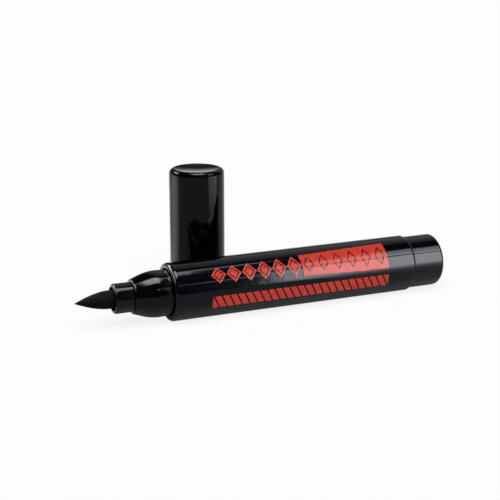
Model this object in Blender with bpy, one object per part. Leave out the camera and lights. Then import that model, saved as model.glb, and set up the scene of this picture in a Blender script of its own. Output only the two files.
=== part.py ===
"""A jumbo liquid eyeliner pen lying on its side, with its cap taken off and standing behind it.

Metres, +Z up. The pen lies along X with its nib towards -X, and rests on Z = 0. The origin is under
the middle of the box that holds the pen and the cap. Places along the pen are measured from the
nib's point towards the tail, and places in the cap upwards from its rim.
"""

import math

import bmesh
import bpy
from mathutils import Vector

# Fits between pieces
CLEARANCE = 0.0003  # left between two pieces that touch or are pressed together
SEAL_CLEARANCE = 0.00015  # round the soft seal, which is squeezed in use
MERGE_DISTANCE = 0.0000001  # joins the turned points that fall on one another
ROUNDING_LIMIT_SHARE = 0.75  # the most of a wall that may be rounded away

# Nib and its holder
NIB_EXPOSED = 0.00985
NIB_TAPER = 0.0088  # from the point to where the nib is thickest
NIB_RADIUS = 0.00235
NIB_BASE_INSET = 0.0001  # how much slimmer the nib is again where it enters the holder
NIB_SEAT = 0.0016  # how deep the thick part sits in the holder
NIB_STEM_IN_FEED = 0.0022  # how far the stem reaches into the feed's tube
NIB_FULLNESS_LOSS_SHARE = 0.03  # how much flatter than a sine curve its side is
HOLDER_EXPOSED = 0.0045
HOLDER_RADIUS = 0.0038
HOLDER_STEP = 0.0006  # from the visible part down to the stem that is pressed into the nose
HOLDER_CHAMFER = 0.0006
HOLDER_CHAMFER_LENGTH = 0.0006

# Nose cone: the bullet shape, its neck, and the spigot that stops behind the barrel's front lip
NOSE_EXPOSED = 0.00985
NOSE_STEP = 0.00065  # from the holder out to the nose's front edge
NOSE_FRONT_ROUNDING = 0.00025
NOSE_CURVE = 0.0063  # length of the bullet curve
NOSE_BORE = 0.0051  # length of the bore that takes the holder's stem
NOSE_WALL = 0.00115
NECK_GROOVE_DEPTH = 0.0002
NECK_GROOVE_WIDTH = 0.0004
NECK_GROOVE_PLACE = 0.0011  # from the barrel's face to the middle of the groove
NECK_STEP = 0.00153  # from the barrel's side in to the neck
NOSE_SPIGOT = 0.01
SPIGOT_CHAMFER = 0.0003

# Barrel and tail plug
BARREL_LENGTH = 0.06805
BARREL_RADIUS = 0.0075
BARREL_WALL = 0.0008
BARREL_ROUNDING = 0.0006
BARREL_FRONT_ROUNDING = 0.00055
BARREL_LIP = 0.0016  # length of the narrower bore that holds the neck
TAIL_EXPOSED = 0.009
TAIL_STEP = 0.0005  # from the barrel down to the plug
TAIL_ROUNDING = 0.001
TAIL_SPIGOT = 0.0087
TAIL_WALL = 0.001
TAIL_END_WALL = 0.00135

# Feed: the finned collector, the wick through it, and the tank with its stopper, seal and ball
WICK_RADIUS = 0.0013
WICK_REACH = 0.0015  # how far the wick stands out into the tank
COLLECTOR_WALL = 0.0007
COLLECTOR_SLOT_WIDTH = 0.0006
COLLECTOR_SLOT_FLOOR = 0.0003  # how far the slot stays above the collector's tube
FIN_THICKNESS = 0.0005
FIN_PITCH = 0.00115
STOPPER_FLANGE = 0.001
STOPPER_PLUG = 0.0047
STOPPER_SEAL_PLACE = 0.0021  # from the flange to the middle of the seal
STOPPER_CHAMFER = 0.0004
SEAL_SECTION = 0.001
TANK_WALL = 0.0006
TANK_END_WALL = 0.001
BALL_RADIUS = 0.002
BALL_PLACE_SHARE = 0.5  # where the ball lies along its free way in the tank

# Cap
CAP_GAP = 0.0104  # clear distance from the barrel to the standing cap
CAP_PLACE = 0.0425  # from the nib's point to the cap's axis, along the pen
CAP_NECK_PLAY = 0.00048  # between the nose's neck and the cap's bore
CAP_WALL = 0.00105
CAP_TOP_WALL = 0.0015
CAP_TOP_ROUNDING = 0.0013
CAP_RIM_ROUNDING = 0.00015
CAP_DISH_DEPTH = 0.00015
CAP_DISH_SLOPE = 0.0006
CAP_DISH_MARGIN = 0.0019  # from the cap's side to the edge of the dish in its top
CAP_BEAD_HEIGHT = 0.0003
CAP_LEDGE = 0.00055  # how much narrower the bore is above the retainer
SPRING_SEAT = 0.001
TIP_ROOM = 0.0012  # above the nib's point when the cap is on
INNER_CAP_TRAVEL = 0.0012
INNER_CAP_WALL = 0.0008
INNER_CAP_TOP_WALL = 0.0009
INNER_CAP_LIP = 0.0003
FLANGE_DROP = 0.001  # from the inner cap's top to the top of its flange
FLANGE_THICKNESS = 0.0008
STUB_HEIGHT = 0.0008
RETAINER_LENGTH = 0.003
RETAINER_WALL = 0.0009  # at least this much beside the inner cap
RETAINER_CHAMFER = 0.0003
SPRING_LENGTH = 0.0057
SPRING_RADIUS = 0.0034  # to the middle of the wire
SPRING_WIRE = 0.0005
SPRING_PLAY = 0.0005  # between the spring and what centres it
SPRING_TURNS = 4.0
SPRING_END_TURNS = 0.75  # at each end, where the turns lie closer
SPRING_END_PITCH = 0.00095

# Counts
OUTER_STEPS = 48
MIDDLE_STEPS = 32
INNER_STEPS = 24
CURVE_POINTS = 10
ROUNDING_POINTS = 4
SPRING_POINTS_PER_TURN = 10
BALL_SEGMENTS = 16
BALL_RINGS = 10
SHARP_DEGREES = 35  # edges with a greater angle than this stay sharp

# Places along the pen, from the nib's point
holder_front = NIB_EXPOSED
holder_shoulder = holder_front + HOLDER_EXPOSED
nose_front = holder_shoulder + CLEARANCE
chamber_front = nose_front + NOSE_BORE
barrel_front = nose_front + NOSE_EXPOSED
lip_rear = barrel_front + BARREL_LIP
spigot_front = lip_rear + CLEARANCE
nose_rear = spigot_front + NOSE_SPIGOT
barrel_rear = barrel_front + BARREL_LENGTH
tail_shoulder = barrel_rear + CLEARANCE
tail_end = tail_shoulder + TAIL_EXPOSED
tail_front = tail_shoulder - TAIL_SPIGOT
collector_front = chamber_front + CLEARANCE
stopper_front = nose_rear + CLEARANCE
stopper_shoulder = stopper_front + STOPPER_FLANGE
stopper_rear = stopper_shoulder + STOPPER_PLUG
seal_place = stopper_shoulder + STOPPER_SEAL_PLACE
tank_front = stopper_shoulder + CLEARANCE
tank_rear = tail_front - CLEARANCE
nib_stem_end = collector_front + NIB_STEM_IN_FEED
wick_front = nib_stem_end + CLEARANCE
wick_rear = stopper_rear + WICK_REACH

# Radii of the pen's pieces
nib_base_radius = NIB_RADIUS - NIB_BASE_INSET
feed_bore = WICK_RADIUS + CLEARANCE
holder_stem_radius = HOLDER_RADIUS - HOLDER_STEP
nose_front_radius = HOLDER_RADIUS + NOSE_STEP
neck_radius = BARREL_RADIUS - NECK_STEP
chamber_radius = neck_radius - NECK_GROOVE_DEPTH - NOSE_WALL
lip_bore = neck_radius + CLEARANCE
barrel_bore = BARREL_RADIUS - BARREL_WALL
spigot_radius = barrel_bore - CLEARANCE
collector_core = feed_bore + COLLECTOR_WALL
fin_radius = chamber_radius - CLEARANCE
tank_bore = spigot_radius - TANK_WALL
plug_radius = tank_bore - CLEARANCE
seal_radius = tank_bore - SEAL_CLEARANCE - SEAL_SECTION / 2
tail_radius = BARREL_RADIUS - TAIL_STEP
tail_bore = spigot_radius - TAIL_WALL

# Radii of the cap's pieces
inner_cap_bore = HOLDER_RADIUS + CLEARANCE
inner_cap_radius = inner_cap_bore + INNER_CAP_WALL
retainer_bore = inner_cap_radius + CLEARANCE
cap_bore = max(neck_radius + CAP_NECK_PLAY, retainer_bore + RETAINER_WALL + CLEARANCE)
cap_radius = cap_bore + CAP_WALL
retainer_radius = cap_bore - CLEARANCE
cap_upper_bore = cap_bore - CAP_LEDGE
flange_radius = cap_upper_bore - CLEARANCE
spring_guide_radius = SPRING_RADIUS - SPRING_WIRE / 2 - SPRING_PLAY

# Places in the cap, upwards from its rim
inner_cap_mouth = NOSE_EXPOSED - INNER_CAP_TRAVEL
inner_cap_ceiling = barrel_front + TIP_ROOM - INNER_CAP_TRAVEL
inner_cap_top = inner_cap_ceiling + INNER_CAP_TOP_WALL
spring_foot = inner_cap_top + CLEARANCE
spring_head = spring_foot + SPRING_LENGTH
cap_ceiling = spring_head + CLEARANCE
cap_height = cap_ceiling + CAP_TOP_WALL
flange_top = inner_cap_top - FLANGE_DROP
flange_foot = flange_top - FLANGE_THICKNESS
retainer_top = flange_foot - CLEARANCE
retainer_foot = retainer_top - RETAINER_LENGTH
cap_ledge = retainer_top + CLEARANCE

# Places in the world: the lowest facet of the barrel lies on Z = 0
flat_radius = BARREL_RADIUS * math.cos(math.pi / OUTER_STEPS)
cap_distance = BARREL_RADIUS + CAP_GAP + cap_radius
pen_y = (flat_radius - cap_radius - cap_distance) / 2
cap_y = pen_y + cap_distance
tip_x = -tail_end / 2
cap_x = tip_x + CAP_PLACE


def clear_scene():
    for thing in list(bpy.data.objects):
        bpy.data.objects.remove(thing, do_unlink=True)


def finish(name, color, roughness, metallic=0.0):
    """A plain Principled material."""
    made = bpy.data.materials.new(name)
    made.use_nodes = True
    shader = made.node_tree.nodes["Principled BSDF"]
    shader.inputs["Base Color"].default_value = (*color, 1.0)
    shader.inputs["Roughness"].default_value = roughness
    shader.inputs["Metallic"].default_value = metallic
    made.diffuse_color = (*color, 1.0)
    return made


def empty(name, location, rotation=(0.0, 0.0, 0.0)):
    made = bpy.data.objects.new(name, None)
    made.location = location
    made.rotation_euler = rotation
    bpy.context.scene.collection.objects.link(made)
    return made


def added(name, data, look, parent):
    """A new object of this data under its parent, with its material."""
    made = bpy.data.objects.new(name, data)
    bpy.context.scene.collection.objects.link(made)
    made.parent = parent
    data.materials.append(look)
    return made


def rounded(before, corner, after, size, points=ROUNDING_POINTS):
    """Points of the arc that rounds off a corner of an outline between its two neighbours."""
    corner = Vector(corner)
    back = (Vector(before) - corner).normalized()
    ahead = (Vector(after) - corner).normalized()
    half = back.angle(ahead) / 2
    middle = corner + (back + ahead).normalized() * size / math.sin(half)
    start = corner + back * size / math.tan(half) - middle
    end = corner + ahead * size / math.tan(half) - middle
    return [tuple(middle + start.slerp(end, i / points) * size) for i in range(points + 1)]


def turned(name, outline, steps, look, parent):
    """A solid turned round local Z from its section.

    The outline is a list of (radius, place). It is a loop unless it starts and ends on the axis.
    Half a step of turn lays a facet, not an edge, at the bottom of a lying piece.
    """
    shape = bmesh.new()
    points = [shape.verts.new((radius, 0.0, place)) for radius, place in outline]
    pairs = list(zip(points, points[1:]))
    if outline[0][0] > 0:
        pairs.append((points[-1], points[0]))
    edges = [shape.edges.new(pair) for pair in pairs]
    bmesh.ops.spin(
        shape,
        geom=points + edges,
        cent=(0.0, 0.0, 0.0),
        axis=(0.0, 0.0, 1.0),
        angle=math.tau,
        steps=steps,
        use_merge=True,
    )
    bmesh.ops.remove_doubles(shape, verts=shape.verts, dist=MERGE_DISTANCE)
    bmesh.ops.recalc_face_normals(shape, faces=shape.faces)
    mesh = bpy.data.meshes.new(name)
    shape.to_mesh(mesh)
    shape.free()
    mesh.shade_smooth()
    mesh.set_sharp_from_angle(angle=math.radians(SHARP_DEGREES))
    made = added(name, mesh, look, parent)
    made.rotation_euler.z = math.pi / steps
    return made


def nib(look, pen):
    side = []
    for i in range(CURVE_POINTS + 1):
        share = i / CURVE_POINTS
        fullness = 1 - NIB_FULLNESS_LOSS_SHARE * math.sin(math.pi * share)
        radius = NIB_RADIUS * fullness * math.sin(math.pi / 2 * share)
        side.append((radius, NIB_TAPER * share))
    outline = [
        *side,
        (nib_base_radius, holder_front),
        (nib_base_radius, holder_front + NIB_SEAT),
        (WICK_RADIUS, holder_front + NIB_SEAT),
        (WICK_RADIUS, nib_stem_end),
        (0.0, nib_stem_end),
    ]
    turned("nib", outline, INNER_STEPS, look, pen)


def nib_holder(look, pen):
    mouth = nib_base_radius + CLEARANCE
    mouth_floor = holder_front + NIB_SEAT + CLEARANCE
    stem_end = chamber_front - CLEARANCE
    outline = [
        (mouth, holder_front),
        (HOLDER_RADIUS - HOLDER_CHAMFER, holder_front),
        (HOLDER_RADIUS, holder_front + HOLDER_CHAMFER_LENGTH),
        (HOLDER_RADIUS, holder_shoulder),
        (holder_stem_radius, holder_shoulder),
        (holder_stem_radius, stem_end),
        (feed_bore, stem_end),
        (feed_bore, mouth_floor),
        (mouth, mouth_floor),
    ]
    turned("nib_holder", outline, MIDDLE_STEPS, look, pen)


def nose_cone(look, pen):
    """The bullet-shaped front of the pen, its neck, and the spigot that plugs into the barrel."""
    bore = holder_stem_radius + CLEARANCE
    curve_start = nose_front + NOSE_FRONT_ROUNDING
    curve = []
    for i in range(1, CURVE_POINTS + 1):
        share = i / CURVE_POINTS
        rise = math.sin(math.pi / 2 * share)
        radius = nose_front_radius + (neck_radius - nose_front_radius) * rise
        curve.append((radius, curve_start + NOSE_CURVE * share))
    groove_middle = barrel_front - NECK_GROOVE_PLACE
    groove_radius = neck_radius - NECK_GROOVE_DEPTH
    front_edge = rounded(
        (bore, nose_front),
        (nose_front_radius, nose_front),
        (nose_front_radius, barrel_front),
        NOSE_FRONT_ROUNDING,
    )
    outline = [
        (bore, nose_front),
        *front_edge,
        *curve,
        (neck_radius, groove_middle - NECK_GROOVE_WIDTH / 2),
        (groove_radius, groove_middle - NECK_GROOVE_WIDTH / 2),
        (groove_radius, groove_middle + NECK_GROOVE_WIDTH / 2),
        (neck_radius, groove_middle + NECK_GROOVE_WIDTH / 2),
        (neck_radius, spigot_front),
        (spigot_radius, spigot_front),
        (spigot_radius, nose_rear - SPIGOT_CHAMFER),
        (spigot_radius - SPIGOT_CHAMFER, nose_rear),
        (chamber_radius, nose_rear),
        (chamber_radius, chamber_front),
        (bore, chamber_front),
    ]
    turned("nose_cone", outline, OUTER_STEPS, look, pen)


def collector(look, pen):
    """A tube with a row of fins, which hold surplus liquid, and a slot along their top."""
    outline = [(feed_bore, collector_front), (collector_core, collector_front)]
    fins = int((nose_rear - collector_front) / FIN_PITCH)
    for fin in range(fins):
        fin_rear = collector_front + (fin + 1) * FIN_PITCH
        fin_front = fin_rear - FIN_THICKNESS
        outline += [
            (collector_core, fin_front),
            (fin_radius, fin_front),
            (fin_radius, fin_rear),
        ]
        outline.append((collector_core, fin_rear))
    outline += [(collector_core, nose_rear), (feed_bore, nose_rear)]
    body = turned("collector", outline, INNER_STEPS, look, pen)

    slot_floor = collector_core + COLLECTOR_SLOT_FLOOR
    slot_top = chamber_radius + CLEARANCE
    slot_length = nose_rear - collector_front + 2 * CLEARANCE
    shape = bmesh.new()
    bmesh.ops.create_cube(shape, size=1.0)
    size = Vector((slot_top - slot_floor, COLLECTOR_SLOT_WIDTH, slot_length))
    bmesh.ops.scale(shape, vec=size, verts=shape.verts)
    mesh = bpy.data.meshes.new("collector_slot_cutter")
    shape.to_mesh(mesh)
    shape.free()
    cutter = added("collector_slot_cutter", mesh, look, pen)
    cutter.location = (-(slot_top + slot_floor) / 2, 0.0, (nose_rear + collector_front) / 2)
    cutter.hide_render = True
    cutter.display_type = "WIRE"
    cut = body.modifiers.new("slot", "BOOLEAN")
    cut.operation = "DIFFERENCE"
    cut.object = cutter


def wick(look, pen):
    outline = [
        (0.0, wick_front),
        (WICK_RADIUS, wick_front),
        (WICK_RADIUS, wick_rear),
        (0.0, wick_rear),
    ]
    turned("wick", outline, INNER_STEPS, look, pen)


def tank_stopper(look, pen):
    """Closes the tank's front end round the wick, with a groove for its seal."""
    groove_half = SEAL_SECTION / 2 + SEAL_CLEARANCE
    groove_radius = seal_radius - groove_half
    outline = [
        (feed_bore, stopper_front),
        (spigot_radius, stopper_front),
        (spigot_radius, stopper_shoulder),
        (plug_radius, stopper_shoulder),
        (plug_radius, seal_place - groove_half),
        (groove_radius, seal_place - groove_half),
        (groove_radius, seal_place + groove_half),
        (plug_radius, seal_place + groove_half),
        (plug_radius, stopper_rear - STOPPER_CHAMFER),
        (plug_radius - STOPPER_CHAMFER, stopper_rear),
        (feed_bore, stopper_rear),
    ]
    turned("tank_stopper", outline, MIDDLE_STEPS, look, pen)


def tank_seal(look, pen):
    outline = []
    for i in range(ROUNDING_POINTS * 2):
        angle = math.tau * i / (ROUNDING_POINTS * 2)
        radius = seal_radius + SEAL_SECTION / 2 * math.cos(angle)
        outline.append((radius, seal_place + SEAL_SECTION / 2 * math.sin(angle)))
    turned("tank_seal", outline, MIDDLE_STEPS, look, pen)


def ink_tank(look, pen):
    outline = [
        (0.0, tank_rear - TANK_END_WALL),
        (tank_bore, tank_rear - TANK_END_WALL),
        (tank_bore, tank_front),
        (spigot_radius, tank_front),
        *rounded((spigot_radius, tank_front), (spigot_radius, tank_rear), (0.0, tank_rear), TANK_WALL),
        (0.0, tank_rear),
    ]
    turned("ink_tank", outline, MIDDLE_STEPS, look, pen)


def mixing_ball(look, pen):
    """A loose steel ball that lies at the bottom of the tank and stirs the liquid when shaken."""
    way_start = wick_rear + CLEARANCE + BALL_RADIUS
    way_end = tank_rear - TANK_END_WALL - CLEARANCE - BALL_RADIUS
    shape = bmesh.new()
    bmesh.ops.create_uvsphere(shape, u_segments=BALL_SEGMENTS, v_segments=BALL_RINGS, radius=BALL_RADIUS)
    mesh = bpy.data.meshes.new("mixing_ball")
    shape.to_mesh(mesh)
    shape.free()
    mesh.shade_smooth()
    ball = added("mixing_ball", mesh, look, pen)
    flat_bore = tank_bore * math.cos(math.pi / MIDDLE_STEPS)
    drop = flat_bore - BALL_RADIUS - CLEARANCE
    ball.location = (drop, 0.0, way_start + (way_end - way_start) * BALL_PLACE_SHARE)
    print("ball travels", way_start - ball.location.z, "to", way_end - ball.location.z)


def barrel(look, pen):
    """The printed tube. A lip in its front end stops the nose, which is pushed in from the rear."""
    outline = [
        (lip_bore, barrel_front),
        *rounded(
            (lip_bore, barrel_front),
            (BARREL_RADIUS, barrel_front),
            (BARREL_RADIUS, barrel_rear),
            BARREL_FRONT_ROUNDING,
        ),
        *rounded(
            (BARREL_RADIUS, barrel_front),
            (BARREL_RADIUS, barrel_rear),
            (barrel_bore, barrel_rear),
            min(BARREL_ROUNDING, BARREL_WALL * ROUNDING_LIMIT_SHARE),
        ),
        (barrel_bore, barrel_rear),
        (barrel_bore, lip_rear),
        (lip_bore, lip_rear),
    ]
    turned("barrel", outline, OUTER_STEPS, look, pen)


def tail_plug(look, pen):
    outline = [
        (0.0, tail_end - TAIL_END_WALL),
        (tail_bore, tail_end - TAIL_END_WALL),
        (tail_bore, tail_front),
        (spigot_radius - SPIGOT_CHAMFER, tail_front),
        (spigot_radius, tail_front + SPIGOT_CHAMFER),
        (spigot_radius, tail_shoulder),
        (tail_radius, tail_shoulder),
        *rounded(
            (tail_radius, tail_shoulder),
            (tail_radius, tail_end),
            (0.0, tail_end),
            TAIL_ROUNDING,
        ),
        (0.0, tail_end),
    ]
    turned("tail_plug", outline, OUTER_STEPS, look, pen)


def cap_shell(look, cap):
    """The cap, open at its foot, with a bead that snaps into the groove of the nose's neck."""
    dish_edge = cap_radius - CAP_DISH_MARGIN
    outline = [
        (0.0, cap_ceiling - SPRING_SEAT),
        (spring_guide_radius, cap_ceiling - SPRING_SEAT),
        (spring_guide_radius, cap_ceiling),
        (cap_upper_bore, cap_ceiling),
        (cap_upper_bore, cap_ledge),
        (cap_bore, cap_ledge),
        (cap_bore, NECK_GROOVE_PLACE + CAP_BEAD_HEIGHT),
        (cap_bore - CAP_BEAD_HEIGHT, NECK_GROOVE_PLACE),
        (cap_bore, NECK_GROOVE_PLACE - CAP_BEAD_HEIGHT),
        (cap_bore, 0.0),
        (cap_radius - CAP_RIM_ROUNDING, 0.0),
        (cap_radius, CAP_RIM_ROUNDING),
        *rounded((cap_radius, 0.0), (cap_radius, cap_height), (0.0, cap_height), CAP_TOP_ROUNDING),
        (dish_edge, cap_height),
        (dish_edge - CAP_DISH_SLOPE, cap_height - CAP_DISH_DEPTH),
        (0.0, cap_height - CAP_DISH_DEPTH),
    ]
    turned("cap_shell", outline, OUTER_STEPS, look, cap)


def inner_cap(look, cap):
    """The soft cup that closes round the nib holder against the nose's front edge."""
    stub_top = inner_cap_top + STUB_HEIGHT
    outline = [
        (0.0, inner_cap_ceiling),
        (inner_cap_bore, inner_cap_ceiling),
        (inner_cap_bore, inner_cap_mouth),
        (inner_cap_radius - INNER_CAP_LIP, inner_cap_mouth),
        (inner_cap_radius, inner_cap_mouth + INNER_CAP_LIP),
        (inner_cap_radius, flange_foot),
        (flange_radius, flange_foot),
        (flange_radius, flange_top),
        (inner_cap_radius, flange_top),
        (inner_cap_radius, inner_cap_top),
        (spring_guide_radius, inner_cap_top),
        (spring_guide_radius, stub_top),
        (0.0, stub_top),
    ]
    turned("inner_cap", outline, MIDDLE_STEPS, look, cap)


def inner_cap_retainer(look, cap):
    outline = [
        (retainer_bore, retainer_foot),
        (retainer_radius - RETAINER_CHAMFER, retainer_foot),
        (retainer_radius, retainer_foot + RETAINER_CHAMFER),
        (retainer_radius, retainer_top),
        (retainer_bore, retainer_top),
    ]
    turned("inner_cap_retainer", outline, MIDDLE_STEPS, look, cap)


def inner_cap_spring(look, cap):
    """A compression spring of round wire, wound closer at both ends."""
    climb = SPRING_LENGTH - SPRING_WIRE
    end_climb = SPRING_END_TURNS * SPRING_END_PITCH
    end_share = SPRING_END_TURNS / SPRING_TURNS
    points = []
    count = round(SPRING_TURNS * SPRING_POINTS_PER_TURN)
    for i in range(count + 1):
        share = i / count
        if share < end_share:
            height = end_climb * share / end_share
        elif share > 1 - end_share:
            height = climb - end_climb * (1 - share) / end_share
        else:
            middle_share = (share - end_share) / (1 - 2 * end_share)
            height = end_climb + (climb - 2 * end_climb) * middle_share
        angle = math.tau * SPRING_TURNS * share
        x = SPRING_RADIUS * math.cos(angle)
        y = SPRING_RADIUS * math.sin(angle)
        points.append(Vector((x, y, spring_foot + SPRING_WIRE / 2 + height)))
    print("least gap between the spring's turns", least_gap(points))

    curve = bpy.data.curves.new("inner_cap_spring", "CURVE")
    curve.dimensions = "3D"
    curve.bevel_depth = SPRING_WIRE / 2
    curve.bevel_resolution = 1
    curve.use_fill_caps = True
    spline = curve.splines.new("POLY")
    spline.points.add(count)
    for place, point in zip(spline.points, points):
        place.co = (*point, 1.0)
    added("inner_cap_spring", curve, look, cap)


def least_gap(points):
    """The least clear distance of the wire to itself, past the half turn next to each point."""
    half_turn = SPRING_POINTS_PER_TURN // 2
    gaps = []
    for i, point in enumerate(points):
        gaps += [(other - point).length for other in points[i + half_turn :]]
    return min(gaps) - SPRING_WIRE


def build():
    clear_scene()
    pen = empty("pen_axis", (tip_x, pen_y, flat_radius), (0.0, math.pi / 2, 0.0))
    cap = empty("cap_axis", (cap_x, cap_y, 0.0))

    nib(finish("nib_felt", (0.012, 0.012, 0.014), 0.9), pen)
    nib_holder(finish("holder_plastic", (0.010, 0.010, 0.012), 0.16), pen)
    nose_cone(finish("nose_plastic", (0.010, 0.010, 0.012), 0.10), pen)
    collector(finish("collector_plastic", (0.78, 0.78, 0.75), 0.45), pen)
    wick(finish("wick_fibre", (0.03, 0.03, 0.035), 0.95), pen)
    tank_stopper(finish("stopper_plastic", (0.70, 0.72, 0.72), 0.40), pen)
    tank_seal(finish("seal_rubber", (0.04, 0.04, 0.04), 0.75), pen)
    ink_tank(finish("tank_plastic", (0.62, 0.66, 0.68), 0.35), pen)
    mixing_ball(finish("ball_steel", (0.75, 0.75, 0.76), 0.15, 1.0), pen)
    barrel(finish("barrel_plastic", (0.010, 0.010, 0.012), 0.08), pen)
    tail_plug(finish("tail_plastic", (0.010, 0.010, 0.012), 0.12), pen)

    cap_shell(finish("cap_plastic", (0.010, 0.010, 0.012), 0.10), cap)
    inner_cap(finish("inner_cap_plastic", (0.82, 0.82, 0.80), 0.50), cap)
    inner_cap_retainer(finish("retainer_plastic", (0.80, 0.80, 0.78), 0.45), cap)
    inner_cap_spring(finish("spring_steel", (0.70, 0.70, 0.71), 0.25, 1.0), cap)
    print("pen axis", pen.location, "cap axis", cap.location)
    print("cap height", cap_height, "spring", spring_foot, "to", spring_head)


build()
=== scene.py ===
"""Looks of the jumbo liquid eyeliner pen and its standing cap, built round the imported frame.

Sizes are in millimetres, and become metres as each mesh is made. Along the pen they are measured from
the nib's point, and in the cap upwards from its rim. Angles round the pen are degrees from the side
that faces -Y, up over the top. The stage round the two is in metres.
"""

import math

import bmesh
import bpy
from mathutils import Matrix, Vector, noise


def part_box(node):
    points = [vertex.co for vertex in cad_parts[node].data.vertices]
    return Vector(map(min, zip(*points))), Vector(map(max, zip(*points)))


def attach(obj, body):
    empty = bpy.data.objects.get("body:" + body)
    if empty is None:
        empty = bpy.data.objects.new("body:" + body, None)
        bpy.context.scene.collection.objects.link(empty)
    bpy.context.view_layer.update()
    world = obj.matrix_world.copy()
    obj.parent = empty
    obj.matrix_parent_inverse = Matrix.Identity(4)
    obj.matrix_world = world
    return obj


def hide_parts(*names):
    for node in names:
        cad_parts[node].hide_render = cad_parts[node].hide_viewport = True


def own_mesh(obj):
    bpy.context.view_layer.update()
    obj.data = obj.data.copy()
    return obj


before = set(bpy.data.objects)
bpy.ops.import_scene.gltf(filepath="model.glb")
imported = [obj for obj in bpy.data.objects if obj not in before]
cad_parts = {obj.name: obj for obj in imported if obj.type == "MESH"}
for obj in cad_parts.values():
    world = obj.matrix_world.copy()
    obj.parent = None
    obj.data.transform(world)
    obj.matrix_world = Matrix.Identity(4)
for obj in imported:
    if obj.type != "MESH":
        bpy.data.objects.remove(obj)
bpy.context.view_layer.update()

MM = 0.001

# Where the two axes are, taken from the frame
barrel_low, barrel_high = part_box("barrel")
cap_low, cap_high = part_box("cap_shell")
tip_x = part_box("nib")[0].x
pen_y = (barrel_low.y + barrel_high.y) / 2
pen_z = (barrel_low.z + barrel_high.z) / 2
barrel_radius = (barrel_high.z - barrel_low.z) / 2 / MM
cap_x = (cap_low.x + cap_high.x) / 2
cap_y = (cap_low.y + cap_high.y) / 2
cap_radius = (cap_high.y - cap_low.y) / 2 / MM
cap_height = cap_high.z / MM

# Local Z runs along each piece's axis. On the pen local X is up and local Y faces the front
pen_axis = Matrix.Translation((tip_x, pen_y, pen_z)) @ Matrix(
    ((0, 0, 1, 0), (0, -1, 0, 0), (1, 0, 0, 0), (0, 0, 0, 1))
)
cap_axis = Matrix.Translation((cap_x, cap_y, 0.0))


def in_scene(name, data):
    """A new object in the scene, made of data."""
    thing = bpy.data.objects.new(name, data)
    bpy.context.scene.collection.objects.link(thing)
    return thing


# Camera: the angle and the frame of the photo
LENS = 90.0
SENSOR = 36.0
PHOTO_PIXELS = 500
CAMERA_DISTANCE = 0.32404
CAMERA_ELEVATION = math.radians(15.255)
CAMERA_TURN = math.radians(23.760)
AIM_ALONG_PEN = 46.6
AIM_PIXEL = (248.13, 281.95)
CLIP_START = 0.01
CLIP_END = 20.0


def place_camera():
    focal = LENS / SENSOR * PHOTO_PIXELS
    ce, se = math.cos(CAMERA_ELEVATION), math.sin(CAMERA_ELEVATION)
    ct, st = math.cos(CAMERA_TURN), math.sin(CAMERA_TURN)
    right = Vector((ct, -st, 0.0))
    ahead = Vector((ce * st, ce * ct, -se))
    up = Vector((se * st, se * ct, ce))
    across = (AIM_PIXEL[0] - PHOTO_PIXELS / 2) / focal * CAMERA_DISTANCE
    down = (AIM_PIXEL[1] - PHOTO_PIXELS / 2) / focal * CAMERA_DISTANCE
    aim = Vector((tip_x + AIM_ALONG_PEN * MM, pen_y, pen_z))
    data = bpy.data.cameras.new("camera")
    data.lens = LENS
    data.sensor_width = SENSOR
    data.clip_start = CLIP_START
    data.clip_end = CLIP_END
    camera = in_scene("camera", data)
    camera.location = aim - right * across + up * down - ahead * CAMERA_DISTANCE
    camera.rotation_euler = ahead.to_track_quat("-Z", "Y").to_euler()
    bpy.context.scene.camera = camera


place_camera()


class Graph:
    """A node tree under construction. A method that adds a node returns the output in use."""

    def __init__(self, tree):
        self.nodes = tree.nodes
        self.links = tree.links

    def put(self, value, socket):
        """Links another node's output to the socket, or gives it a number or a colour."""
        if isinstance(value, bpy.types.NodeSocket):
            self.links.new(value, socket)
        elif socket.type == "RGBA":
            socket.default_value = (*value, 1.0)
        else:
            socket.default_value = value

    def add(self, kind, *values):
        """A new node itself, with its first inputs filled."""
        node = self.nodes.new("ShaderNode" + kind)
        for value, socket in zip(values, node.inputs):
            self.put(value, socket)
        return node

    def split(self, vector):
        return self.add("SeparateXYZ", vector).outputs

    def math(self, operation, *values, clamp=False):
        node = self.add("Math", *values)
        node.operation = operation
        node.use_clamp = clamp
        return node.outputs[0]

    def ranged(self, value, low, high, at_low, at_high, smooth=False):
        """Goes from at_low to at_high while value goes from low to high, and no further."""
        node = self.add("MapRange", value, low, high, at_low, at_high)
        node.interpolation_type = "SMOOTHSTEP" if smooth else "LINEAR"
        return node.outputs[0]

    def rise(self, value, start, width, smooth=False):
        return self.ranged(value, start, start + width, 0.0, 1.0, smooth)

    def fall(self, value, start, width, smooth=False):
        return self.ranged(value, start, start + width, 1.0, 0.0, smooth)

    def between(self, value, low, high, soft):
        """1 from low to high, and 0 further than soft outside them."""
        return self.math("MULTIPLY", self.rise(value, low - soft, soft), self.fall(value, high, soft))

    def mixed(self, share, first, second):
        node = self.add("Mix", share)
        node.data_type = "RGBA"
        self.put(first, node.inputs[6])
        self.put(second, node.inputs[7])
        return node.outputs[2]


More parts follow.
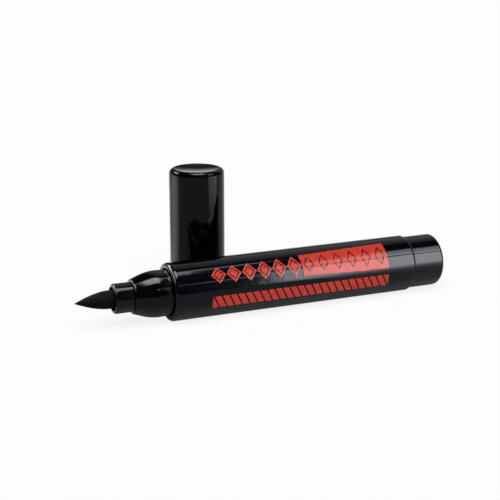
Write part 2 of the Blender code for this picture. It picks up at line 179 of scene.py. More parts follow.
class Look(Graph):
    """A material under construction, round the shader that it starts with."""

    def __init__(self, name):
        self.material = bpy.data.materials.new(name)
        self.material.use_nodes = True
        super().__init__(self.material.node_tree)
        self.shader = self.nodes["Principled BSDF"]

    def place(self):
        """The piece's own coordinates, in metres."""
        return self.add("TexCoord").outputs["Object"]

    def stretched(self, scale):
        """The coordinates times scale. A noise is longer along an axis whose scale is below 1."""
        node = self.add("Mapping", self.place())
        node.inputs["Scale"].default_value = scale
        return node.outputs[0]

    def noise(self, scale, detail, vector=None, roughness=0.5):
        """Clouds, with scale of them to the metre."""
        node = self.add("TexNoise", self.place() if vector is None else vector)
        node.inputs["Scale"].default_value = scale
        node.inputs["Detail"].default_value = detail
        node.inputs["Roughness"].default_value = roughness
        return node.outputs["Fac"]

    def spread(self, clouds, at_low=0.0, at_high=1.0, low=0.3, high=0.7):
        """A noise, which lies mostly between low and high, spread from at_low to at_high."""
        return self.ranged(clouds, low, high, at_low, at_high)

    def bump(self, height, depth):
        """A relief that is depth millimetres high where height is 1."""
        node = self.add("Bump")
        node.inputs["Strength"].default_value = 1.0
        node.inputs["Distance"].default_value = depth * MM
        self.put(height, node.inputs["Height"])
        self.set(Normal=node.outputs[0])

    def set(self, **inputs):
        """Fills the shader's inputs, whose names are written with _ for each space."""
        for name, value in inputs.items():
            self.put(value, self.shader.inputs[name.replace("_", " ")])

    def surface(self, shader_node):
        self.put(shader_node.outputs[0], self.nodes["Material Output"].inputs["Surface"])


# Black plastic. A pair of colours is the deeper and the paler one of its clouding
BLACK = ((0.0005, 0.0005, 0.0007), (0.0014, 0.0014, 0.0017))
BLUE_BLACK = ((0.0005, 0.0008, 0.0016), (0.0012, 0.0018, 0.0030))
PLASTIC_IOR = 1.25
NOSE_IOR = 1.23
CAP_IOR = 1.20
PEEL_SCALE = 420.0
PEEL_DETAIL = 2.0

# Tints of the gloss and of the glowing cards
WHITE = (1.0, 1.0, 1.0)
COOL = (0.90, 0.93, 1.0)
WARM = (0.96, 1.0, 0.87)


def black_plastic(name, roughness=0.07, shades=BLACK, ior=PLASTIC_IOR, gloss=COOL):
    """Glossy black moulded plastic: faint clouding, uneven polish and a slight orange peel."""
    look = Look(name)
    cloud = look.noise(260.0, detail=4.0)
    look.set(Base_Color=look.mixed(look.spread(cloud), *shades))
    streaks = look.noise(900.0, detail=4.0, vector=look.stretched((1.0, 1.0, 0.06)))
    look.set(Roughness=look.spread(streaks, roughness * 0.8, roughness * 1.5, high=0.75))
    look.set(Specular_Tint=gloss, IOR=ior)
    look.bump(look.noise(PEEL_SCALE, PEEL_DETAIL), 0.012)
    return look


# The print: its places along the pen, and round it in degrees
PRINT_START = 33.9
PRINT_CELL = 4.19
PRINT_CELLS = 12
PRINT_END_FADE = 0.02  # in cells
EDGE = 0.05  # how softly each motif ends, as a share of its size
RAGGED = 0.035  # how far its edge wanders, as a share too

# The row of diamonds, which grow along it
ROW_MIDDLE = 39.0
ROW_HALF_START = 17.0
ROW_HALF_END = 30.0
DIAMOND_SLOPE = 2.06  # at 2 the diamonds would touch
OUTLINE_INNER = 0.56
OUTLINE_OUTER = 0.70
PANEL_START = 6  # the cell from which the row is one red panel
PANEL_RAGGED = 0.5

# The band of slanted bars, and the fine line under it
BAND_LOW = -27.0
BAND_HIGH = -3.0
BAND_FADE = 0.8
BAND_RAGGED = 12.0
BAR_CELL = 2.095
BAR_HALF = 0.36  # of a bar's cell
BAR_SLANT = 0.034  # cells to the degree
BAR_RAGGED = 0.6
PIN_LOW = -35.0
PIN_HIGH = -33.6
PIN_FADE = 0.3

# The ink
RED = (0.60, 0.048, 0.028)
RED_WORN = (0.44, 0.032, 0.020)
BROWN = (0.040, 0.012, 0.008)
WEAR = 0.8
INK_ROUGHNESS = 0.07
INK_RELIEF = 0.6
PEEL_RELIEF = 0.8


def from_middle(look, cells):
    """How far a point is from the middle of its cell, from 0 to a half."""
    return look.math("ABSOLUTE", look.math("SUBTRACT", look.math("FRACT", cells), 0.5))


def row_print(look, cell, turn, ragged):
    """Separate diamonds that grow into a panel, each with an outline left bare in it."""
    half = look.ranged(look.math("FLOOR", cell), 0.0, PRINT_CELLS - 1, ROW_HALF_START, ROW_HALF_END)
    height = look.math("DIVIDE", look.math("SUBTRACT", turn, ROW_MIDDLE), half)
    height = look.math("ABSOLUTE", height)
    sideways = look.math("MULTIPLY", from_middle(look, cell), DIAMOND_SLOPE)
    reach = look.math("ADD", look.math("ADD", sideways, height), ragged)
    diamond = look.fall(reach, 1.0 - EDGE, EDGE)
    bare = look.between(reach, OUTLINE_INNER, OUTLINE_OUTER, EDGE)
    edge = look.math("ADD", height, look.math("MULTIPLY", ragged, PANEL_RAGGED))
    panel = look.fall(edge, 1.0 - EDGE, EDGE)
    panel = look.math("MULTIPLY", panel, look.rise(cell, PANEL_START, EDGE))
    return look.math("SUBTRACT", look.math("MAXIMUM", diamond, panel), bare, clamp=True)


def band_print(look, along, turn, ragged):
    """A band of slanted bars."""
    slant = look.math("MULTIPLY", turn, BAR_SLANT)
    bar = from_middle(look, look.math("ADD", look.math("DIVIDE", along, BAR_CELL), slant))
    bar = look.math("ADD", bar, look.math("MULTIPLY", ragged, BAR_RAGGED))
    uneven = look.math("ADD", turn, look.math("MULTIPLY", ragged, BAND_RAGGED))
    band = look.between(uneven, BAND_LOW, BAND_HIGH, BAND_FADE)
    return look.math("MULTIPLY", band, look.fall(bar, BAR_HALF, EDGE))


def printed_plastic(name):
    """The barrel's black plastic with a red row of diamonds, a band of bars and a fine line."""
    look = black_plastic(name, shades=BLUE_BLACK)
    plastic = look.shader.inputs["Base Color"].links[0].from_socket
    polish = look.shader.inputs["Roughness"].links[0].from_socket
    x, y, z = look.split(look.place())
    turn = look.math("DEGREES", look.math("ARCTAN2", x, y))
    along = look.math("SUBTRACT", look.math("DIVIDE", z, MM), PRINT_START)
    cell = look.math("DIVIDE", along, PRINT_CELL)
    ragged = look.spread(look.noise(2600.0, detail=3.0), -RAGGED, RAGGED)

    inside = look.between(cell, 0.0, PRINT_CELLS, PRINT_END_FADE)
    red = look.math("MAXIMUM", row_print(look, cell, turn, ragged), band_print(look, along, turn, ragged))
    red = look.math("MULTIPLY", red, inside)
    brown = look.math("MULTIPLY", look.between(turn, PIN_LOW, PIN_HIGH, PIN_FADE), inside)
    worn = look.spread(look.noise(900.0, detail=5.0), 0.0, WEAR, low=0.4, high=0.75)
    base = look.mixed(red, plastic, look.mixed(worn, RED, RED_WORN))
    look.set(Base_Color=look.mixed(brown, base, BROWN))

    ink = look.math("MAXIMUM", red, brown)
    look.set(Roughness=look.math("ADD", polish, look.math("MULTIPLY", ink, INK_ROUGHNESS)))
    peel = look.math("MULTIPLY", look.noise(PEEL_SCALE, PEEL_DETAIL), PEEL_RELIEF)
    look.bump(look.math("ADD", peel, look.math("MULTIPLY", ink, INK_RELIEF)), 0.014)
    return look


FELT_DEEP = (0.0007, 0.0007, 0.0010)
FELT_PALE = (0.0060, 0.0060, 0.0075)
FELT_IOR = 1.11


def felt(name):
    """Black felt: long fibres along the nib, matt with a faint sheen."""
    look = Look(name)
    fibres = look.noise(3600.0, detail=5.0, vector=look.stretched((1.0, 1.0, 0.09)), roughness=0.65)
    tufts = look.noise(1900.0, detail=3.0)
    share = look.math("MULTIPLY", look.spread(fibres, low=0.35), tufts)
    look.set(Base_Color=look.mixed(share, FELT_DEEP, FELT_PALE))
    look.set(Roughness=look.spread(fibres, 0.55, 0.85))
    look.set(Sheen_Weight=0.02, Sheen_Roughness=0.4, IOR=FELT_IOR)
    look.bump(fibres, 0.09)
    return look


def milky(name, color, shade, roughness=0.45):
    """Natural moulded plastic for the pieces inside."""
    look = Look(name)
    cloud = look.noise(300.0, detail=4.0)
    look.set(Base_Color=look.mixed(look.spread(cloud), shade, color))
    look.set(Roughness=look.spread(cloud, roughness * 0.85, roughness * 1.2))
    look.set(Subsurface_Weight=0.25, Subsurface_Scale=0.6 * MM)
    look.bump(look.noise(2400.0, detail=3.0), 0.01)
    return look


def fibre(name):
    """Bonded fibres that lie along the pen."""
    look = Look(name)
    strands = look.noise(7000.0, detail=4.0, vector=look.stretched((0.06, 1.0, 1.0)))
    look.set(Base_Color=look.mixed(strands, (0.012, 0.012, 0.014), (0.06, 0.06, 0.068)))
    look.set(Roughness=look.spread(strands, 0.8, 1.0))
    look.bump(strands, 0.04)
    return look


def rubber(name):
    """Dull black rubber with a fine grain."""
    look = Look(name)
    grain = look.noise(4000.0, detail=4.0)
    look.set(Base_Color=look.mixed(grain, (0.022, 0.022, 0.022), (0.055, 0.055, 0.055)))
    look.set(Roughness=look.spread(grain, 0.65, 0.85))
    look.bump(grain, 0.01)
    return look


def steel(name, roughness, stretch):
    """Bright steel with fine marks, drawn out as stretch says."""
    look = Look(name)
    marks = look.noise(5000.0, detail=3.0, vector=look.stretched(stretch))
    look.set(Base_Color=look.mixed(marks, (0.58, 0.58, 0.59), (0.78, 0.78, 0.79)))
    look.set(Roughness=look.spread(marks, roughness * 0.7, roughness * 1.4))
    look.set(Metallic=1.0)
    look.bump(marks, 0.003)
    return look


# How finely the meshes are made
OUTER_STEPS = 160
INNER_STEPS = 96
NIB_STEPS = 192
NIB_POINTS = 40
NOSE_POINTS = 32
ARC_POINTS = 10
SMALL_ARC = 0.2  # a rounding below this size has SMALL_ARC_POINTS
SMALL_ARC_POINTS = 3
SUPPORT = 0.02  # the narrow straight strip on both sides of a rounding, which keeps the shading true
SHARP_DEGREES = 32


def arc(before, corner, after, size):
    """Points that round off a corner of an outline between its two neighbours."""
    points = SMALL_ARC_POINTS if size < SMALL_ARC else ARC_POINTS
    corner = Vector(corner)
    back = (Vector(before) - corner).normalized()
    ahead = (Vector(after) - corner).normalized()
    half = back.angle(ahead) / 2
    middle = corner + (back + ahead).normalized() * size / math.sin(half)
    start = corner + back * size / math.tan(half) - middle
    end = corner + ahead * size / math.tan(half) - middle
    round_part = [middle + start.slerp(end, i / points) * size for i in range(points + 1)]
    first = round_part[0] + back * SUPPORT
    last = round_part[-1] + ahead * SUPPORT
    return [tuple(point) for point in (first, *round_part, last)]


def outlined(*corners):
    """A section's points. A corner is (radius, place), or (radius, place, rounding)."""
    points = []
    count = len(corners)
    for i, corner in enumerate(corners):
        if len(corner) == 2:
            points.append(corner)
            continue
        before = corners[i - 1][:2]
        after = corners[(i + 1) % count][:2]
        points += arc(before, corner[:2], after, corner[2])
    return points


def bridged(shape, one, other):
    """Faces between two rings of points. A ring on the axis is a single point."""
    steps = max(len(one), len(other))
    for step in range(steps):
        after = (step + 1) % steps
        corners = [one[step % len(one)], one[after % len(one)]]
        corners += [other[after % len(other)], other[step % len(other)]]
        unique = list(dict.fromkeys(corners))
        if len(unique) > 2:
            shape.faces.new(unique)


def finished(name, shape, axis):
    """The piece that a bmesh becomes, smooth but for its sharp edges, with its Z along axis."""
    bmesh.ops.recalc_face_normals(shape, faces=shape.faces)
    mesh = bpy.data.meshes.new(name)
    shape.to_mesh(mesh)
    shape.free()
    mesh.shade_smooth()
    mesh.set_sharp_from_angle(angle=math.radians(SHARP_DEGREES))
    piece = in_scene(name, mesh)
    piece.matrix_world = axis
    return piece


def turned(name, outline, axis, steps=OUTER_STEPS, shift=None):
    """A piece turned round its axis. shift(angle, place) changes a point's radius, as a share."""
    shape = bmesh.new()
    rings = []
    for radius, place in outline:
        if radius <= 0:
            rings.append([shape.verts.new((0.0, 0.0, place * MM))])
            continue
        ring = []
        for step in range(steps):
            angle = math.tau * step / steps
            reach = radius * MM * (1 + shift(angle, place) if shift else 1)
            ring.append(shape.verts.new((reach * math.cos(angle), reach * math.sin(angle), place * MM)))
        rings.append(ring)
    for one, other in zip(rings, rings[1:]):
        bridged(shape, one, other)
    if outline[0][0] > 0:
        bridged(shape, rings[-1], rings[0])
    return finished(name, shape, axis)


def dressed(piece, look, body, node):
    piece.data.materials.append(look.material)
    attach(piece, body)
    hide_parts(node)


PIECE_GAP = 0.3
SEAM = 0.1  # what shows of a joint between two pieces that are pressed together

# The nib
NIB_RADIUS = 2.35
NIB_TAPER = 8.8
NIB_HOLLOW = 0.03  # how far its sides pull in halfway, as a share
NIB_CROWDING = 1.35  # above 1, its points lie closer together towards the tip
NIB_BASE = 2.25
NIB_SEAT = 1.6
STEM_RADIUS = 1.3
STEM_REAR = 22.25
FIBRES_ROUND = 9.0  # how fine the felt's relief is round the nib, and along it
FIBRES_ALONG = 0.35
FIBRES_HEIGHT = 0.012
FIBRES_SUNK = 0.0088  # keeps the relief from standing out of the nib's own outline

# The holder
HOLDER_FRONT = 9.85
HOLDER_REAR = 19.45
HOLDER_RADIUS = 3.8
HOLDER_STEM = 3.2
HOLDER_BORE = 1.6
HOLDER_RIM = 0.75
HOLDER_EDGE = 0.6
HOLDER_SEAT_REAR = 11.75
MOUTH_DEPTH = 1.2
MOUTH_FLOOR_DEPTH = 1.4

# The nose
NOSE_FRONT = 14.65
NOSE_REAR = 36.4
NOSE_FRONT_RADIUS = 4.45
NOSE_EDGE = 0.35
NOSE_CURVE = 6.3
NECK_RADIUS = 5.97
GROOVE_FRONT = 23.2
GROOVE_REAR = 23.6
GROOVE_DEPTH = 0.2
SPIGOT_FRONT = 26.4
SPIGOT_RADIUS = 6.4
FEED_BORE = 4.62
FEED_BORE_FRONT = 19.75

# The barrel and the tail plug
BARREL_FACE = 24.1
BARREL_FACE_ROUNDING = 1.0
BARREL_BORE = 6.7
LIP_REAR = 26.1
BARREL_REAR = 92.55
TAIL_FRONT = 84.15
TAIL_END = 101.85
TAIL_RADIUS = 7.0
TAIL_BORE = 5.4
TAIL_WALL = 1.35


def make_nib():
    side = [(0.0, 0.0)]
    for i in range(1, NIB_POINTS + 1):
        share = (i / NIB_POINTS) ** NIB_CROWDING
        fullness = 1 - NIB_HOLLOW * math.sin(math.pi * share)
        side.append((NIB_RADIUS * fullness * math.sin(math.pi / 2 * share), NIB_TAPER * share))
    outline = [
        *side,
        (NIB_BASE, HOLDER_FRONT),
        (NIB_BASE, HOLDER_FRONT + NIB_SEAT),
        (STEM_RADIUS, HOLDER_FRONT + NIB_SEAT),
        (STEM_RADIUS, STEM_REAR),
        (0.0, STEM_REAR),
    ]

    def fibres(angle, place):
        x, y = math.cos(angle) * FIBRES_ROUND, math.sin(angle) * FIBRES_ROUND
        return FIBRES_HEIGHT * noise.noise(Vector((x, y, place * FIBRES_ALONG))) - FIBRES_SUNK

    piece = turned("felt_nib", outline, pen_axis, NIB_STEPS, fibres)
    dressed(piece, felt("felt_black"), "pen", "nib")


def make_holder():
    seat = NIB_BASE + PIECE_GAP
    mouth = HOLDER_RADIUS - HOLDER_RIM
    outline = outlined(
        (mouth, HOLDER_FRONT, 0.05),
        (HOLDER_RADIUS, HOLDER_FRONT, HOLDER_EDGE),
        (HOLDER_RADIUS, NOSE_FRONT - SEAM, 0.06),
        (HOLDER_STEM, NOSE_FRONT - SEAM),
        (HOLDER_STEM, HOLDER_REAR, 0.2),
        (HOLDER_BORE, HOLDER_REAR),
        (HOLDER_BORE, HOLDER_SEAT_REAR),
        (seat, HOLDER_SEAT_REAR),
        (seat, HOLDER_FRONT + MOUTH_FLOOR_DEPTH),
        (mouth, HOLDER_FRONT + MOUTH_DEPTH),
    )
    piece = turned("nib_sleeve", outline, pen_axis)
    look = black_plastic("sleeve_black", roughness=0.1)
    dressed(piece, look, "pen", "nib_holder")


def make_nose():
    bore = HOLDER_STEM + PIECE_GAP
    edge = (NOSE_FRONT_RADIUS, NOSE_FRONT)
    curve = []
    for i in range(1, NOSE_POINTS + 1):
        share = i / NOSE_POINTS
        radius = NOSE_FRONT_RADIUS + (NECK_RADIUS - NOSE_FRONT_RADIUS) * math.sin(math.pi / 2 * share)
        curve.append((radius, NOSE_FRONT + NOSE_EDGE + NOSE_CURVE * share))
    outline = [
        (bore, NOSE_FRONT),
        *arc((bore, NOSE_FRONT), edge, (NOSE_FRONT_RADIUS, BARREL_FACE), NOSE_EDGE),
        *curve,
        *outlined(
            (NECK_RADIUS, GROOVE_FRONT, 0.05),
            (NECK_RADIUS - GROOVE_DEPTH, GROOVE_FRONT, 0.08),
            (NECK_RADIUS - GROOVE_DEPTH, GROOVE_REAR, 0.08),
            (NECK_RADIUS, GROOVE_REAR, 0.05),
            (NECK_RADIUS, SPIGOT_FRONT),
            (SPIGOT_RADIUS, SPIGOT_FRONT),
            (SPIGOT_RADIUS, NOSE_REAR, 0.3),
            (FEED_BORE, NOSE_REAR),
            (FEED_BORE, FEED_BORE_FRONT),
            (bore, FEED_BORE_FRONT),
        ),
    ]
    piece = turned("bullet_nose", outline, pen_axis)
    look = black_plastic("nose_black", roughness=0.08, ior=NOSE_IOR)
    dressed(piece, look, "pen", "nose_cone")


def make_barrel():
    lip_bore = NECK_RADIUS + PIECE_GAP
    outline = outlined(
        (lip_bore, BARREL_FACE, 0.08),
        (barrel_radius, BARREL_FACE, BARREL_FACE_ROUNDING),
        (barrel_radius, BARREL_REAR, 0.6),
        (BARREL_BORE, BARREL_REAR, 0.08),
        (BARREL_BORE, LIP_REAR),
        (lip_bore, LIP_REAR),
    )
    piece = turned("printed_barrel", outline, pen_axis)
    dressed(piece, printed_plastic("barrel_print"), "pen", "barrel")


def make_tail():
    outline = outlined(
        (0.0, TAIL_END - TAIL_WALL),
        (TAIL_BORE, TAIL_END - TAIL_WALL, 0.4),
        (TAIL_BORE, TAIL_FRONT),
        (SPIGOT_RADIUS, TAIL_FRONT, 0.3),
        (SPIGOT_RADIUS, BARREL_REAR + SEAM),
        (TAIL_RADIUS, BARREL_REAR + SEAM, 0.06),
        (TAIL_RADIUS, TAIL_END, 1.0),
        (0.0, TAIL_END),
    )
    piece = turned("tail_cap", outline, pen_axis)
    look = black_plastic("tail_black", roughness=0.08, shades=BLUE_BLACK)
    dressed(piece, look, "pen", "tail_plug")


# The cap's shell: a dish in its top, a boss under its roof, and a snap bead inside its rim
DISH_RADIUS = 6.15
DISH_DEPTH = 0.36
DISH_RINGS = 14
BOSS_RADIUS = 2.65
BOSS_FOOT = 30.7
ROOF = 31.7
SHOULDER = 23.6
BORE_ABOVE_SHOULDER = 5.9
CAP_BORE = 6.45
BEAD_RADIUS = 6.15
BEAD_TOP = 1.4
BEAD_MIDDLE = 1.1
BEAD_FOOT = 0.8

# The sealing cup, with a flange that rests on the ring and a boss inside the spring
CUP_FOOT = 8.65
CUP_ROOF = 24.5
CUP_TOP = 25.4
CUP_BORE = 4.1
CUP_RADIUS = 4.9
CUP_BOSS_TOP = 26.2
FLANGE_RADIUS = 5.6
FLANGE_FOOT = 23.6
FLANGE_TOP = 24.4

# The ring
RING_FOOT = 20.3
RING_TOP = 23.3
RING_BORE = 5.2
RING_RADIUS = 6.15


def make_cap():
    dish = [(DISH_RADIUS, cap_height)]
    for i in range(1, DISH_RINGS + 1):
        share = 1 - i / DISH_RINGS
        dish.append((DISH_RADIUS * share, cap_height - DISH_DEPTH * (1 - share * share)))
    outline = outlined(
        (0.0, BOSS_FOOT),
        (BOSS_RADIUS, BOSS_FOOT, 0.15),
        (BOSS_RADIUS, ROOF),
        (BORE_ABOVE_SHOULDER, ROOF, 0.4),
        (BORE_ABOVE_SHOULDER, SHOULDER),
        (CAP_BORE, SHOULDER),
        (CAP_BORE, BEAD_TOP),
        (BEAD_RADIUS, BEAD_MIDDLE, 0.12),
        (CAP_BORE, BEAD_FOOT),
        (CAP_BORE, 0.0, 0.1),
        (cap_radius, 0.0, 0.15),
        (cap_radius, cap_height, 1.3),
        *dish,
    )
    piece = turned("tall_cap", outline, cap_axis)
    look = black_plastic("cap_black", roughness=0.06, ior=CAP_IOR, gloss=WHITE)
    dressed(piece, look, "cap", "cap_shell")


def make_inner_cap():
    outline = outlined(
        (0.0, CUP_ROOF),
        (CUP_BORE, CUP_ROOF, 0.5),
        (CUP_BORE, CUP_FOOT, 0.15),
        (CUP_RADIUS, CUP_FOOT, 0.3),
        (CUP_RADIUS, FLANGE_FOOT),
        (FLANGE_RADIUS, FLANGE_FOOT, 0.12),
        (FLANGE_RADIUS, FLANGE_TOP, 0.12),
        (CUP_RADIUS, FLANGE_TOP),
        (CUP_RADIUS, CUP_TOP, 0.2),
        (BOSS_RADIUS, CUP_TOP),
        (BOSS_RADIUS, CUP_BOSS_TOP, 0.2),
        (0.0, CUP_BOSS_TOP),
    )
    piece = turned("sealing_cup", outline, cap_axis, INNER_STEPS)
    look = milky("cup_milky", (0.80, 0.80, 0.77), (0.72, 0.72, 0.69))
    dressed(piece, look, "inner_cap", "inner_cap")


def make_ring():
    outline = outlined(
        (RING_BORE, RING_FOOT, 0.1),
        (RING_RADIUS, RING_FOOT, 0.25),
        (RING_RADIUS, RING_TOP, 0.1),
        (RING_BORE, RING_TOP, 0.1),
    )
    piece = turned("retaining_ring", outline, cap_axis, INNER_STEPS)
    look = milky("ring_milky", (0.78, 0.78, 0.75), (0.70, 0.70, 0.66), roughness=0.35)
    dressed(piece, look, "cap", "inner_cap_retainer")


SPRING_FOOT = 25.7
SPRING_HEAD = 31.4
SPRING_TURNS = 4.0
SPRING_END_TURNS = 0.75
SPRING_END_PITCH = 0.95
SPRING_WIRE = 0.5
SPRING_RADIUS = 3.4
SPRING_STEPS_A_TURN = 36
WIRE_SIDES = 14


def spring_height(share):
    """How high the wire has climbed at a share of its length: slowly in its end turns."""
    climb = SPRING_HEAD - SPRING_FOOT - SPRING_WIRE
    end_climb = SPRING_END_TURNS * SPRING_END_PITCH
    end_share = SPRING_END_TURNS / SPRING_TURNS
    if share < end_share:
        return end_climb * share / end_share
    if share > 1 - end_share:
        return climb - end_climb * (1 - share) / end_share
    return end_climb + (climb - 2 * end_climb) * (share - end_share) / (1 - 2 * end_share)


def make_spring():
    count = int(SPRING_TURNS * SPRING_STEPS_A_TURN)
    shape = bmesh.new()
    rings = []
    for i in range(count + 1):
        share = i / count
        angle = math.tau * SPRING_TURNS * share
        out = Vector((math.cos(angle), math.sin(angle), 0.0))
        height = SPRING_FOOT + SPRING_WIRE / 2 + spring_height(share)
        middle = out * SPRING_RADIUS + Vector((0, 0, height))
        ring = []
        for side in range(WIRE_SIDES):
            around = math.tau * side / WIRE_SIDES
            reach = out * math.cos(around) + Vector((0, 0, math.sin(around)))
            ring.append(shape.verts.new((middle + reach * SPRING_WIRE / 2) * MM))
        rings.append(ring)
    for one, other in zip(rings, rings[1:]):
        bridged(shape, one, other)
    shape.faces.new(rings[0])
    shape.faces.new(rings[-1][::-1])
    piece = finished("coil_spring", shape, cap_axis)
    look = steel("drawn_wire", roughness=0.22, stretch=(1.0, 1.0, 0.1))
    dressed(piece, look, "cap", "inner_cap_spring")
    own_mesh(piece)


def carry_over(node, look):
    """A CAD node that stays, with a material of its own."""
    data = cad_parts[node].data
    data.materials.clear()
    data.materials.append(look.material)


make_nib()
make_holder()
make_nose()
make_barrel()
make_tail()
make_cap()
make_inner_cap()
make_ring()
make_spring()
carry_over("collector", milky("feed_white", (0.78, 0.78, 0.75), (0.66, 0.66, 0.63)))
carry_over("tank_stopper", milky("stopper_white", (0.76, 0.77, 0.76), (0.66, 0.67, 0.66), roughness=0.4))
carry_over("ink_tank", milky("tank_white", (0.62, 0.66, 0.68), (0.54, 0.58, 0.60), roughness=0.35))
carry_over("wick", fibre("wick_fibres"))
carry_over("tank_seal", rubber("seal_black"))
carry_over("mixing_ball", steel("ball_bright", roughness=0.12, stretch=(1.0, 1.0, 1.0)))


# The floor
FLOOR_HALF = 3.0
FLOOR_COLOR = (0.95, 0.95, 0.95)
FLOOR_WHITE_SHARE = 0.86  # the rest of the floor's brightness shows the shadow
FLOOR_MIRRORED_SHARE = 0.1  # the same in reflections, where the shadow shows more

# The room. Heights and depths are those of the tip of a direction that is 1 long
BACKDROP_LEVEL = 0.97  # what the camera sees beyond the floor
HORIZON_LEVEL = 0.93
WORLD_LEVEL = 0.06
FRONT_LEVEL = 0.04
HORIZON_HEIGHT = 0.05
WORLD_HEIGHT = 0.28
FRONT_DEPTH = -0.1
BACK_DEPTH = 0.4


def make_floor():
    mesh = bpy.data.meshes.new("floor")
    half = FLOOR_HALF
    corners = [(-half, -half, 0.0), (half, -half, 0.0), (half, half, 0.0), (-half, half, 0.0)]
    mesh.from_pydata(corners, [], [(0, 1, 2, 3)])
    look = Look("floor_pale")
    look.set(Base_Color=FLOOR_COLOR, Roughness=1.0, Specular_IOR_Level=0.0)
    ray = look.add("LightPath").outputs
    mirrored = look.math("MAXIMUM", ray["Is Glossy Ray"], ray["Is Transmission Ray"])
    mirrored = look.math("MULTIPLY", mirrored, FLOOR_MIRRORED_SHARE)
    seen = look.math("MULTIPLY", ray["Is Camera Ray"], FLOOR_WHITE_SHARE)
    seen = look.math("MAXIMUM", seen, mirrored)
    white = look.add("Emission", WHITE, 1.0)
    look.surface(look.add("MixShader", seen, look.shader.outputs[0], white.outputs[0]))
    mesh.materials.append(look.material)
    floor = in_scene("floor", mesh)


def make_world():
    """A dim room, paler behind the object and bright only along the horizon there.

    The camera itself sees it nearly white.
    """
    world = bpy.data.worlds.new("studio")
    world.use_nodes = True
    sky = Graph(world.node_tree)
    _, y, z = sky.split(sky.add("TexCoord").outputs["Generated"])
    back = sky.ranged(z, HORIZON_HEIGHT, WORLD_HEIGHT, HORIZON_LEVEL, WORLD_LEVEL, smooth=True)
    level = sky.ranged(y, FRONT_DEPTH, BACK_DEPTH, FRONT_LEVEL, back, smooth=True)
    ray = sky.add("LightPath").outputs
    seen = sky.ranged(ray["Is Camera Ray"], 0.0, 1.0, level, BACKDROP_LEVEL)
    background = sky.nodes["Background"]
    sky.put(WHITE, background.inputs["Color"])
    sky.put(seen, background.inputs["Strength"])
    bpy.context.scene.world = world


def direction(azimuth, elevation):
    """Azimuth counts from -Y towards +X, and elevation from the horizon, both in degrees."""
    a, e = math.radians(azimuth), math.radians(elevation)
    return Vector((math.sin(a) * math.cos(e), -math.cos(a) * math.cos(e), math.sin(e)))


def make_sun(name, azimuth, elevation, strength, spread):
    data = bpy.data.lights.new(name, "SUN")
    data.energy = strength
    data.angle = math.radians(spread)
    sun = in_scene(name, data)
    sun.rotation_euler = direction(azimuth, elevation).to_track_quat("Z", "Y").to_euler()
    sun.visible_glossy = False


# The cards, which only reflections show
CARD_DISTANCE = 1.5
CARD_STEPS = 24
SHEEN_HEIGHT = 0.0003  # how far above the floor a card lies on it


def part_way(ends, share):
    return ends[0] + (ends[1] - ends[0]) * share


def glowing(name, place, strength, soft, tint=WHITE, power=1.0, lit=None):
    """A glowing card. place(u, v) gives its points, with u and v from 0 to 1.

    soft gives the shares that fade at both ends of u and of v, and power bends the rise along v.
    lit is a collection of the only pieces that the card lights, or None.
    """
    mesh = bpy.data.meshes.new(name)
    count = CARD_STEPS + 1
    spots = [(i / CARD_STEPS, j / CARD_STEPS) for i in range(count) for j in range(count)]
    faces = []
    for i in range(CARD_STEPS):
        for j in range(CARD_STEPS):
            corner = i * count + j
            faces.append((corner, corner + count, corner + count + 1, corner + 1))
    mesh.from_pydata([place(u, v) for u, v in spots], [], faces)
    layer = mesh.uv_layers.new(name="card")
    for loop in mesh.loops:
        layer.data[loop.index].uv = spots[loop.vertex_index]

    look = Look(name)
    u, v, _ = look.split(look.add("UVMap").outputs[0])
    level = strength
    for value, low, high in ((u, soft[0], soft[1]), (v, soft[2], soft[3])):
        level = look.math("MULTIPLY", look.rise(value, 0.0, low, smooth=True), level)
        level = look.math("MULTIPLY", look.fall(value, 1 - high, high, smooth=True), level)
    if power != 1.0:
        level = look.math("MULTIPLY", look.math("POWER", v, power), level)
    glow = look.add("Emission", tint, level)
    clear = look.add("BsdfTransparent")
    look.surface(look.add("AddShader", glow.outputs[0], clear.outputs[0]))
    mesh.materials.append(look.material)

    card = in_scene(name, mesh)
    card.visible_camera = False
    card.visible_diffuse = False
    card.visible_shadow = False
    card.light_linking.receiver_collection = lit


def far_card(name, along, around, strength, soft, lit=None):
    """along is the share of its direction that runs along the pen, around the angle round the pen."""

    def place(u, v):
        share = part_way(along, u)
        turn = math.radians(part_way(around, v))
        level = math.sqrt(1 - share * share)
        way = Vector((share, -level * math.cos(turn), level * math.sin(turn)))
        return Vector((0.0, pen_y, pen_z)) + way * CARD_DISTANCE

    glowing(name, place, strength, soft, lit=lit)


def side_card(name, azimuth, elevation, strength, soft, lit=None):
    """A card in a direction from the cap's top, with its angles as in direction()."""

    def place(u, v):
        way = direction(part_way(azimuth, u), part_way(elevation, v))
        return Vector((cap_x, cap_y, cap_high.z)) + way * CARD_DISTANCE

    glowing(name, place, strength, soft, lit=lit)


def floor_sheen(name, pivot, azimuth, reach, strength, soft, tint, power):
    """Light that lies on the floor in a sector round pivot, from reach[0] to reach[1] away."""

    def place(u, v):
        a = math.radians(part_way(azimuth, u))
        away = part_way(reach, v)
        x, y = pivot[0] + math.sin(a) * away, pivot[1] - math.cos(a) * away
        return Vector((x, y, SHEEN_HEIGHT))

    glowing(name, place, strength, soft, tint, power)


# The low cards light the pen alone, because the cap's flat top would mirror them to other sides
pen_pieces = bpy.data.collections.new("pen_pieces")
for piece_name in ("felt_nib", "nib_sleeve", "bullet_nose", "printed_barrel", "tail_cap"):
    pen_pieces.objects.link(bpy.data.objects[piece_name])

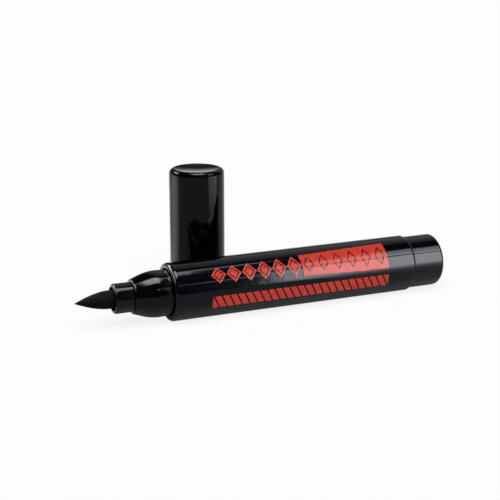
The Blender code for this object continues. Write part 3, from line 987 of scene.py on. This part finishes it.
# What far_card() is given for each card, in its own order
FAR_CARDS = (
    ("card_band", (0.385, 0.80), (-6.0, 47.0), 18.0, (0.09, 0.2, 0.28, 0.03), pen_pieces),
    ("card_upper_line", (0.37, 0.80), (52.3, 58.0), 10.0, (0.1, 0.2, 0.3, 0.3)),
    ("card_left_line", (0.325, 0.41), (34.5, 37.8), 7.0, (0.05, 0.3, 0.3, 0.3)),
    ("card_top_line", (0.325, 0.41), (89.5, 96.0), 6.5, (0.05, 0.3, 0.3, 0.3)),
    ("card_back", (0.05, 0.9), (100.0, 160.0), 0.6, (0.25, 0.1, 0.3, 0.2)),
    ("card_middle", (-0.32, 0.27), (64.0, 101.0), 21.0, (0.25, 0.08, 0.25, 0.12)),
    ("card_neck", (0.24, 0.325), (76.0, 96.0), 15.0, (0.4, 0.05, 0.2, 0.2)),
    ("card_glint", (0.04, 0.20), (32.0, 38.0), 8.0, (0.2, 0.2, 0.3, 0.3)),
)

# What side_card() is given for each card, in its own order
SIDE_CARDS = (
    ("card_left", (-166.0, -72.0), (18.0, 48.0), 15.0, (0.1, 0.1, 0.2, 0.15), pen_pieces),
    ("card_cap_left", (-168.0, -118.0), (27.0, 46.0), 12.0, (0.2, 0.2, 0.3, 0.2)),
    ("card_cap_right", (38.0, 70.0), (32.0, 56.0), 9.0, (0.2, 0.2, 0.3, 0.2)),
)

make_floor()
make_world()
make_sun("key", azimuth=-24.0, elevation=62.0, strength=3.0, spread=50.0)
for card_values in FAR_CARDS:
    far_card(*card_values)
for card_values in SIDE_CARDS:
    side_card(*card_values)
floor_sheen(
    "sheen_right",
    pivot=(0.015, pen_y),
    azimuth=(22.0, 76.0),
    reach=(0.012, 1.4),
    strength=14.0,
    soft=(0.06, 0.03, 0.07, 0.1),
    tint=COOL,
    power=0.5,
)
floor_sheen(
    "sheen_left",
    pivot=(cap_x, cap_y),
    azimuth=(-100.0, -150.0),
    reach=(0.012, 0.4),
    strength=4.0,
    soft=(0.1, 0.5, 0.05, 0.3),
    tint=WARM,
    power=0.2,
)

bpy.context.scene.view_settings.view_transform = "Standard"
